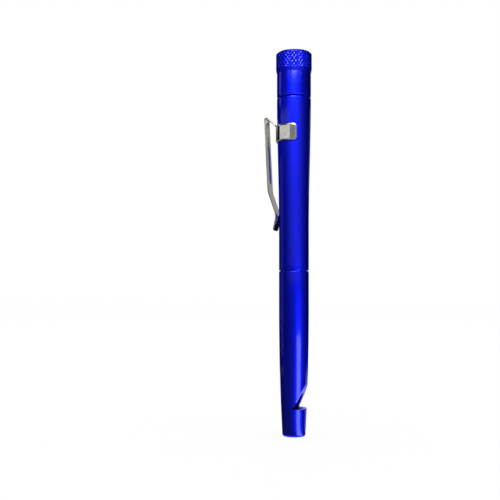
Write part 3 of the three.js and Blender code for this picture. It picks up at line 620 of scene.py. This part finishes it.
root_half, band_half = ARM_HALF + ROOT_FILLET, HALF_WRAP * BAND_MIDDLE
shares = [2 * i / COLUMNS - 1 for i in range(COLUMNS + 1)]
closer = [band_half - BAND_CORNER * (1 - math.cos(i * math.pi / 16)) for i in range(8)]
sides = sorted([s for s in rows(root_half, band_half, 0.5)[1:] if s < min(closer) - 0.1] + closer)
arounds = [-s for s in reversed(sides)] + [root_half * s for s in shares] + sides
heights = rows(BAND_LOW, BAND_HIGH, 0.58)
middle_height = (BAND_LOW + BAND_HIGH) / 2
points, faces = [], []
for height in heights:
    for around in arounds:
        drop = corner_drop(band_half - abs(around), BAND_CORNER)
        scale = 1 - drop / ((BAND_HIGH - BAND_LOW) / 2)
        points.append(on_band(around, middle_height + (height - middle_height) * scale))
wide = len(arounds)
for r in range(len(heights) - 1):
    start = r * wide
    faces += [[start + c, start + c + 1, start + wide + c + 1, start + wide + c] for c in range(wide - 1)]
print("band:", round(2 * band_half, 1), "mm round,", len(points), "points")

# %% [markdown]
# ## The arm's surface
# The arm leaves the band with a fillet at its root, flattens out, and has a long rib pressed into it.
# The rib makes the thin sheet stiff.
# The rib could be a separate piece, but on the real clip it is the same sheet pushed outwards.
# So the points of the grid are lifted along the surface's own direction inside a round-ended strip.

# %% Arm with its rib
RIB_START, RIB_LENGTH, RIB_HALF, RIB_HEIGHT, RIB_FLANK = 6.6, 21.0, 1.375, 0.35, 0.55
CURL_LENGTH = 3.2


def rib_lift(across, along):
    """Height of the pressed rib, a long round-ended hump."""
    reach = RIB_LENGTH / 2 - RIB_HALF
    beyond = max(0.0, abs(along - RIB_START - RIB_LENGTH / 2) - reach)
    share = min(1.0, max(0.0, (RIB_HALF - math.hypot(across, beyond)) / RIB_FLANK))
    return RIB_HEIGHT * share * share * (3 - 2 * share)


below = [(len(heights) - 1) * wide + len(sides) + i for i in range(COLUMNS + 1)]
for i in range(1, len(line)):
    ahead = line[min(i + 1, len(line) - 1)] - line[i - 1]
    outward = Vector((-ahead.y, ahead.x)).normalized()
    half_width = ARM_HALF + corner_drop(travel[i], ROOT_FILLET)
    half_width -= corner_drop(travel[-1] - travel[i], TIP_CORNER)
    curl = max(0.0, 1 - travel[i] / CURL_LENGTH) ** 2
    row = []
    for share in shares:
        x = half_width * share
        hollow = curl * (BAND_MIDDLE - math.sqrt(BAND_MIDDLE ** 2 - x * x))
        lift = rib_lift(x, travel[i] - travel[arm_from]) if i > arm_from else 0.0
        u, z = line[i] + outward * lift
        row.append(len(points))
        points.append((x, -(u - hollow), z))
    faces += [[below[c], below[c + 1], row[c + 1], row[c]] for c in range(COLUMNS)]
    below = row
print("clip surface:", len(points), "points")

# %% [markdown]
# ## Sheet and bend
# Solidify gives the middle surface the sheet's thickness, and a small bevel rounds the sheared edges.
# The real clip bends where it folds, between the band and the arm. Two pieces would part at the fold, so the
# strip is one piece here, and it rides on no body.

# %% Thickness and sheared edges
SHEET, SHEARED = 0.5, 0.11
clip = make_object("pocket_clip", points, faces)
sheet = clip.modifiers.new("sheet", "SOLIDIFY")
sheet.thickness, sheet.offset, sheet.use_even_offset = SHEET * MM, 0.0, True
edge = clip.modifiers.new("edge", "BEVEL")
edge.width, edge.segments, edge.angle_limit = SHEARED * MM, 2, math.radians(50)
settle(clip)
hand_over(clip, None, plated, "plated_steel", "clip_band", "clip_arm", sharp=40)
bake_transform(clip)


# %% [markdown]
# ## Lens, gasket and reflector
# A clear disc closes the head, a rubber ring seals it under the lip, and a mirror cup throws the light forward.
# All three are round, so each is a profile on the lathe.
# The cup's inside is a parabola, because that sends light from its focus out in parallel.

# %% Profiles of what sits in the head
LENS_LOW, LENS_TOP, HOLDER_TOP = 161.5, 163.0, 153.39
HEAD_FIT, CUP_LOW, CUP_HIGH = 6.44, 2.8, 5.94


def ring_section(radius, low, size=0.8, steps=20):
    """Round section of an O-ring of that inner radius."""
    angles = [2 * math.pi * i / steps for i in range(steps)]
    return [(radius + size / 2 * (1 + math.cos(a)), low + size / 2 * (1 + math.sin(a))) for a in angles]


def mirror_radius(height):
    share = (height - HOLDER_TOP - 0.5) / (LENS_LOW - HOLDER_TOP - 0.5)
    return math.sqrt(CUP_LOW ** 2 + (CUP_HIGH ** 2 - CUP_LOW ** 2) * share)


round_pieces = {
    "lens": ("head", acrylic, "clear_lens", soften([
        (0, LENS_LOW), (HEAD_FIT, LENS_LOW), (HEAD_FIT, LENS_TOP - 0.2), (HEAD_FIT - 0.2, LENS_TOP),
        (0, LENS_TOP)], 0.1, False), False),
    "lens_gasket": ("head", rubber, "black_rubber", ring_section(5.64, LENS_TOP), True),
    "reflector": ("head", mirror, "mirror_film", soften([
        (CUP_LOW, HOLDER_TOP), (4.3, HOLDER_TOP), (HEAD_FIT, LENS_LOW - 1.7), (HEAD_FIT, LENS_LOW),
        *[(mirror_radius(z), z) for z in rows(LENS_LOW, HOLDER_TOP + 0.5, 0.3)]], 0.08), True),
}
print("in the head:", ", ".join(round_pieces))

# %% [markdown]
# ## LED, holder and contacts
# The lamp is a 5 mm LED with a domed body, in a white holder that drops into the barrel.
# A brass stud under the holder meets the front cell, and a brass cup in the tail carries the battery spring.
# They are round as well, so their profiles join the others, and one loop turns them all.

# %% Profiles of the lamp module, the O-ring and the cup, and all of them turned
LED_LOW, LED_RADIUS = 151.99, 2.5
HOLDER_LOW, BOARD_LOW = 140.19, 150.99
dome = [(LED_RADIUS * math.cos(i * math.pi / 28), LED_LOW + 6.1 + LED_RADIUS * math.sin(i * math.pi / 28))
        for i in range(14)]
round_pieces.update({
    "led": ("lamp_module", epoxy, "clear_epoxy", soften([
        (0, LED_LOW), (2.9, LED_LOW), (2.9, LED_LOW + 1), (LED_RADIUS, LED_LOW + 1), *dome,
        (0, LED_LOW + 8.6)], 0.08, False), False),
    "lamp_holder": ("lamp_module", white_plastic, "white_plastic", soften([
        (1.36, HOLDER_LOW), (4.95, HOLDER_LOW), (5.25, HOLDER_LOW + 0.3), (5.25, HOLDER_TOP - 1.2),
        (6.4, HOLDER_TOP - 1.2), (6.4, HOLDER_TOP), (4.45, HOLDER_TOP), (4.45, BOARD_LOW),
        (3.65, BOARD_LOW), (3.65, HOLDER_LOW + 1.8), (1.36, HOLDER_LOW + 1.8)], 0.1), True),
    "contact_stud": ("lamp_module", brass, "brass", soften([
        (0, 139.59), (1.9, 139.59), (2.2, 139.89), (2.2, 140.19), (1.3, 140.19), (1.3, 141.99),
        (0, 141.99)], 0.08, False), False),
    "head_o_ring": ("barrel", rubber, "black_rubber", ring_section(5.63, 150.0), True),
    "spring_cup": ("spring_stack", brass, "brass", soften([
        (0, 42.06), (5.15, 42.06), (5.15, 43.46), (4.65, 43.46), (4.65, 42.56),
        (0, 42.56)], 0.1, False), False),
})
for node, (body, finish, slot, profile, closed) in round_pieces.items():
    made = make_object(node + "_turned", *revolve(profile, 96, closed))
    hand_over(made, body, finish, slot, node)

# %% [markdown]
# ## Inside the LED
# Through the clear body one sees two steel posts, a small cup between them, and yellow phosphor in the cup.
# A picture on the body could fake them, but real pieces inside stay right from every side.
# They are details of the LED's own body, so they replace no solid.

# %% Posts, cup and phosphor
post = [(-0.25, -0.25), (0.25, -0.25), (0.25, 0.25), (-0.25, 0.25)]
for name, shift, high in (("led_anode_post", 1.27, 3.9), ("led_cathode_post", -1.27, 3.2)):
    made = make_object(name, *prism([(x + shift, y) for x, y in post], LED_LOW + 0.06, LED_LOW + high))
    hand_over(made, "lamp_module", tinned, "tinned_steel")
anvil = make_object("led_die_cup", *revolve(soften([
    (0, LED_LOW + 2.4), (1.0, LED_LOW + 2.4), (1.0, LED_LOW + 3.5), (0.8, LED_LOW + 3.5), (0.5, LED_LOW + 3.0),
    (0, LED_LOW + 3.0)], 0.06, False), 48, False))
hand_over(anvil, "lamp_module", tinned, "tinned_steel")
dot = make_object("led_phosphor_dot", *revolve(soften([
    (0, LED_LOW + 3.02), (0.48, LED_LOW + 3.02), (0.74, LED_LOW + 3.42), (0.4, LED_LOW + 3.52),
    (0, LED_LOW + 3.55)], 0.05, False), 48, False))
hand_over(dot, "lamp_module", phosphor, "clear_epoxy")


# %% [markdown]
# ## Springs
# Both springs are cones of round wire: a small one behind the LED's board, a strong one under the cells.
# A curve with a round bevel could make them, but a tube built along the helix is plain mesh at once.
# The battery spring keeps one end on the cell and the other in its cup, and here it rides on no body.

# %% Wound springs
def coil(bottom, top, low, height, turns, size, steps=36, sides=12):
    """A tube of round wire along a conical helix, closed at both ends."""
    count = round(turns * steps)
    points, faces = [], []
    for i in range(count + 1):
        t = i / count
        angle, radius = 2 * math.pi * turns * t, bottom + (top - bottom) * t
        out = Vector((math.cos(angle), math.sin(angle), 0))
        centre = radius * out + Vector((0, 0, low + size / 2 + (height - size) * t))
        for k in range(sides):
            a = 2 * math.pi * k / sides
            points.append(centre + size / 2 * (out * math.cos(a) + Vector((0, 0, math.sin(a)))))
    for i in range(count):
        faces += [[i * sides + k, i * sides + (k + 1) % sides, (i + 1) * sides + (k + 1) % sides,
                   (i + 1) * sides + k] for k in range(sides)]
    return points, faces + [list(range(sides)), list(range(count * sides, (count + 1) * sides))]


SPRING_LOW, SPRING_HEIGHT = 42.62, 7.4
contact = make_object("contact_spring_wound", *coil(1.3, 0.55, 142.05, 8.88, 4, 0.4))
hand_over(contact, "lamp_module", wire, "spring_steel", "contact_spring")
battery = make_object("battery_spring_wound", *coil(4.2, 2.6, SPRING_LOW, SPRING_HEIGHT, 4.5, 0.7))
hand_over(battery, None, wire, "spring_steel", "battery_spring")
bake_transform(battery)

# %% [markdown]
# ## Cells
# Each dry cell is a drawn can with a button, a shrunk sleeve and a bottom cap.
# A seal keeps cap and can apart.
# One cylinder could stand for it, but the steps at both ends show when the tail is off.
# The sleeves are plain, and the second cell is the first one at another height.

# %% Two cells
CELL, LABEL = 5.25, 0.2
CELLS = {"front_cell": 94.64, "rear_cell": 50.08}
cell_pieces = {
    "can": (can_steel, "cell_steel", [
        (0, 0.9), (4.99, 0.9), (4.99, 43.2), (4.69, 43.5), (1.9, 43.5), (1.9, 44.2), (1.6, 44.5),
        (0, 44.5)], False),
    "label": (sleeve, "cell_label", [
        (CELL - LABEL, 0.9), (CELL, 0.9), (CELL, 43.2), (CELL - LABEL, 43.2)], True),
    "cap": (can_steel, "cell_steel", [(0, 0), (3.5, 0), (3.8, 0.3), (3.8, 0.4), (0, 0.4)], False),
    "seal": (nylon, "cell_seal", [
        (0, 0.4), (3.86, 0.4), (3.86, 0.3), (4.99, 0.3), (4.99, 0.9), (0, 0.9)], False),
}
for cell, low in CELLS.items():
    for kind, (finish, slot, profile, closed) in cell_pieces.items():
        placed = soften([(r, z + low) for r, z in profile], 0.08, closed)
        made = make_object(f"{cell}_{kind}_drawn", *revolve(placed, 64, closed))
        hand_over(made, "barrel", finish, slot, f"{cell}_{kind}")

# %% [markdown]
# ## Solids that stay as they are
# The board, the LED's leads and the resistor are small, flat-sided and hidden in the holder.
# Building them again would add nothing that shows, so their solids stay and only get their finishes.

# %% Finishes for the kept solids
for node, finish in (("circuit_board", laminate), ("anode_lead", tinned), ("cathode_lead", tinned),
                     ("resistor", black_plastic)):
    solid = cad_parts[node]
    solid.data.materials.clear()
    solid.data.materials.append(finish)
    print(node, "keeps its solid, in", finish.name)


# %% [markdown]
# ## World
# A product stands before plain white, and that white must not come from more light on the product.
# So the world lights surfaces evenly, and is pure white to the camera, to reflections and through glass.
# The Light Path node tells these kinds of rays apart.

# %% Even light, white background
scene = bpy.context.scene
scene.view_settings.view_transform = "Standard"
world = bpy.data.worlds.new("studio")
scene.world = world
world.use_nodes = True
sky = world.node_tree
sky.nodes.clear()
WHITE = (1.0, 1.0, 1.0, 1.0)


def seen_directly(tree):
    """1 for rays from the camera, from a reflection or through glass."""
    rays = add_node(tree, "ShaderNodeLightPath").outputs
    seen = rays["Is Camera Ray"]
    for kind in ("Is Glossy Ray", "Is Transmission Ray"):
        seen = add_node(tree, "ShaderNodeMath", {0: seen, 1: rays[kind]}, operation="MAXIMUM").outputs[0]
    return seen


even = add_node(sky, "ShaderNodeBackground", {"Color": WHITE, "Strength": 0.98})
white = add_node(sky, "ShaderNodeBackground", {"Color": WHITE, "Strength": 1.0})
choose = add_node(sky, "ShaderNodeMixShader", {0: seen_directly(sky), 1: even.outputs[0], 2: white.outputs[0]})
add_node(sky, "ShaderNodeOutputWorld", {"Surface": choose.outputs[0]})
print("world:", world.name)

# %% [markdown]
# ## Floor
# The floor is a sheet of white paper that runs far past the view, so no edge shows.
# Paper alone would turn grey towards the distance, so most of it glows white for the camera.
# The rest stays diffuse paper, which keeps the soft shadow at the object's foot.

# %% White paper
FLOOR_HALF, GLOW_SHARE = 2500, 0.85
floor = make_object("floor", *prism(
    [(x * FLOOR_HALF, y * FLOOR_HALF) for x, y in ((-1, -1), (1, -1), (1, 1), (-1, 1))], -2.0, 0.0))
ground = bpy.data.materials.new("floor_white_paper")
ground.use_nodes = True
tree = ground.node_tree
tree.nodes.clear()
paper = add_node(tree, "ShaderNodeBsdfDiffuse", {"Color": linear("#fcfcfb")})
glow = add_node(tree, "ShaderNodeEmission", {"Color": WHITE, "Strength": 1.0})
share = add_node(tree, "ShaderNodeMath", {0: seen_directly(tree), 1: GLOW_SHARE}, operation="MULTIPLY")
mixed = add_node(tree, "ShaderNodeMixShader", {0: share.outputs[0], 1: paper.outputs[0], 2: glow.outputs[0]})
add_node(tree, "ShaderNodeOutputMaterial", {"Surface": mixed.outputs[0]})
floor.data.materials.append(ground)
print("floor:", 2 * FLOOR_HALF, "mm square")

# %% [markdown]
# ## Cards
# A shiny tube shows the room round it, so in a studio black, grey and white cards stand round such a product.
# The cards could be lamps, but then they would light the floor as well.
# These glow by themselves and only reflections see them, and their places are azimuths from the view.
# Dark cards give the blue its navy edges, nested grey ones its soft middle, and bright strips the pale streaks.

# %% Cards that only reflections see
VIEW = 106.0


def direction(azimuth):
    a = math.radians(azimuth)
    return Vector((math.sin(a), -math.cos(a), 0))


def new_card(name, ends, strength):
    """A curved card over a range of azimuths from the view, between two edges of distance and height."""
    (start, stop), *edges = ends
    angles = rows(VIEW + start, VIEW + stop, 4.0)
    points = [direction(a) * distance + Vector((0, 0, height)) for distance, height in edges for a in angles]
    n = len(angles)
    card = make_object("card_" + name, points, [[i, i + 1, n + i + 1, n + i] for i in range(n - 1)])
    material = bpy.data.materials.new("card_paper_" + name)
    material.use_nodes = True
    material.node_tree.nodes.clear()
    lit = add_node(material.node_tree, "ShaderNodeEmission", {"Color": WHITE, "Strength": strength})
    add_node(material.node_tree, "ShaderNodeOutputMaterial", {"Surface": lit.outputs[0]})
    card.data.materials.append(material)
    card.visible_camera = card.visible_diffuse = card.visible_shadow = card.visible_transmission = False
    return card


# %% Where the cards stand and lie
cards = (
    ("behind", ((100, 260), (220, 0), (220, 700)), 0.0),
    ("front", ((-100, 100), (240, 0), (240, 700)), 0.05),
    ("middle_wide", ((-54, 72), (228, 78), (228, 195)), 0.15),
    ("middle", ((-38, 54), (225, 78), (225, 195)), 0.29),
    ("middle_core", ((-20, 34), (222, 78), (222, 195)), 0.38),
    ("camera_side", ((-25, 8), (205, 156), (205, 188)), 0.22),
    ("left_strip", ((-99, -25), (200, 157), (200, 178)), 0.85),
    ("right_strip", ((130, 165), (200, 122), (200, 182)), 0.38),
    ("key_wide", ((-44, 50), (214, 208), (214, 330)), 1.3),
    ("key", ((-15, 16), (210, 208), (210, 380)), 8.6),
    ("low_right", ((22, 54), (222, 0.7), (222, 26)), 5.0),
    ("clip_side", ((-122, -90), (208, 12), (208, 146)), 0.25),
    ("clip_top", ((-116, -97), (208, 186), (208, 250)), 0.85),
    ("back_strip", ((160, 202), (212, 1), (212, 420)), 0.9),
    ("floor_back", ((-150, -90), (5.3, 0.6), (207, 0.6)), 0.04),
    ("floor_dark", ((-90, 22), (5.3, 0.6), (239, 0.6)), 0.1),
    ("floor_bright", ((22, 54), (5.3, 0.6), (221, 0.6)), 5.0),
    ("floor_right", ((54, 112), (5.3, 0.6), (239, 0.6)), 0.05),
)
for name, ends, strength in cards:
    new_card(name, ends, strength)
print("cards:", len(cards))

# %% [markdown]
# ## Lamps
# Three softboxes stand in front, at the side and behind, as in a small studio.
# One sun lamp would be simpler, but its hard shadow doesn't suit a pale floor.
# They are large and weak: they model the plastics and the floor's shadow, and the colours stay as written.

# %% Softboxes
def add_lamp(name, azimuth, distance, height, side, power=0.5, aim=90):
    """A soft square lamp at that azimuth and height, aimed at the object's axis."""
    data = bpy.data.lights.new(name, "AREA")
    data.shape, data.size, data.size_y, data.energy = "RECTANGLE", side * MM, side * MM, power
    lamp = bpy.data.objects.new(name, data)
    lamp.location = (direction(azimuth) * distance + Vector((0, 0, height))) * MM
    lamp.rotation_euler = (Vector((0, 0, aim * MM)) - lamp.location).to_track_quat("-Z", "Y").to_euler()
    scene.collection.objects.link(lamp)
    print("lamp:", name, power, "W")


add_lamp("key_softbox", VIEW - 20, 900, 700, 500)
add_lamp("fill_softbox", VIEW + 60, 1000, 500, 500)
add_lamp("back_softbox", VIEW + 180, 900, 600, 400)

# %% [markdown]
# ## Camera
# The object stands right of the middle of a 500 by 500 picture, seen from the side with its clip to the left.
# The camera could be placed by eye, but four measures of the picture fix it: axis, foot, horizon and scale.
# The camera stays level so that the tube's sides stay upright, and a small shift puts the horizon at its row.

# %% Camera from measures of the picture
PICTURE_PX, AXIS_PX, CENTRE_PX, ROW_PX, FOCAL_PX = 500, 293.9, 250.0, 285.0, 800.0
MM_PER_PX, BOTTOM_PX = 0.432, 435.5
SENSOR = 36.0
camera_data = bpy.data.cameras.new("camera")
camera_data.sensor_width, camera_data.lens = SENSOR, SENSOR * FOCAL_PX / PICTURE_PX
camera_data.shift_y = (ROW_PX - CENTRE_PX) / PICTURE_PX
camera_data.clip_start, camera_data.clip_end = 0.01, 20.0
camera = bpy.data.objects.new("camera", camera_data)
distance = FOCAL_PX * MM_PER_PX
pan = math.atan((AXIS_PX - CENTRE_PX) / FOCAL_PX)
camera.location = (direction(VIEW) * distance / math.cos(pan)
                   + Vector((0, 0, (BOTTOM_PX - ROW_PX) * MM_PER_PX))) * MM
camera.rotation_euler = (math.pi / 2, 0, math.radians(VIEW) + pan)
scene.collection.objects.link(camera)
scene.camera = camera
print("camera:", round(distance), "mm from the axis")
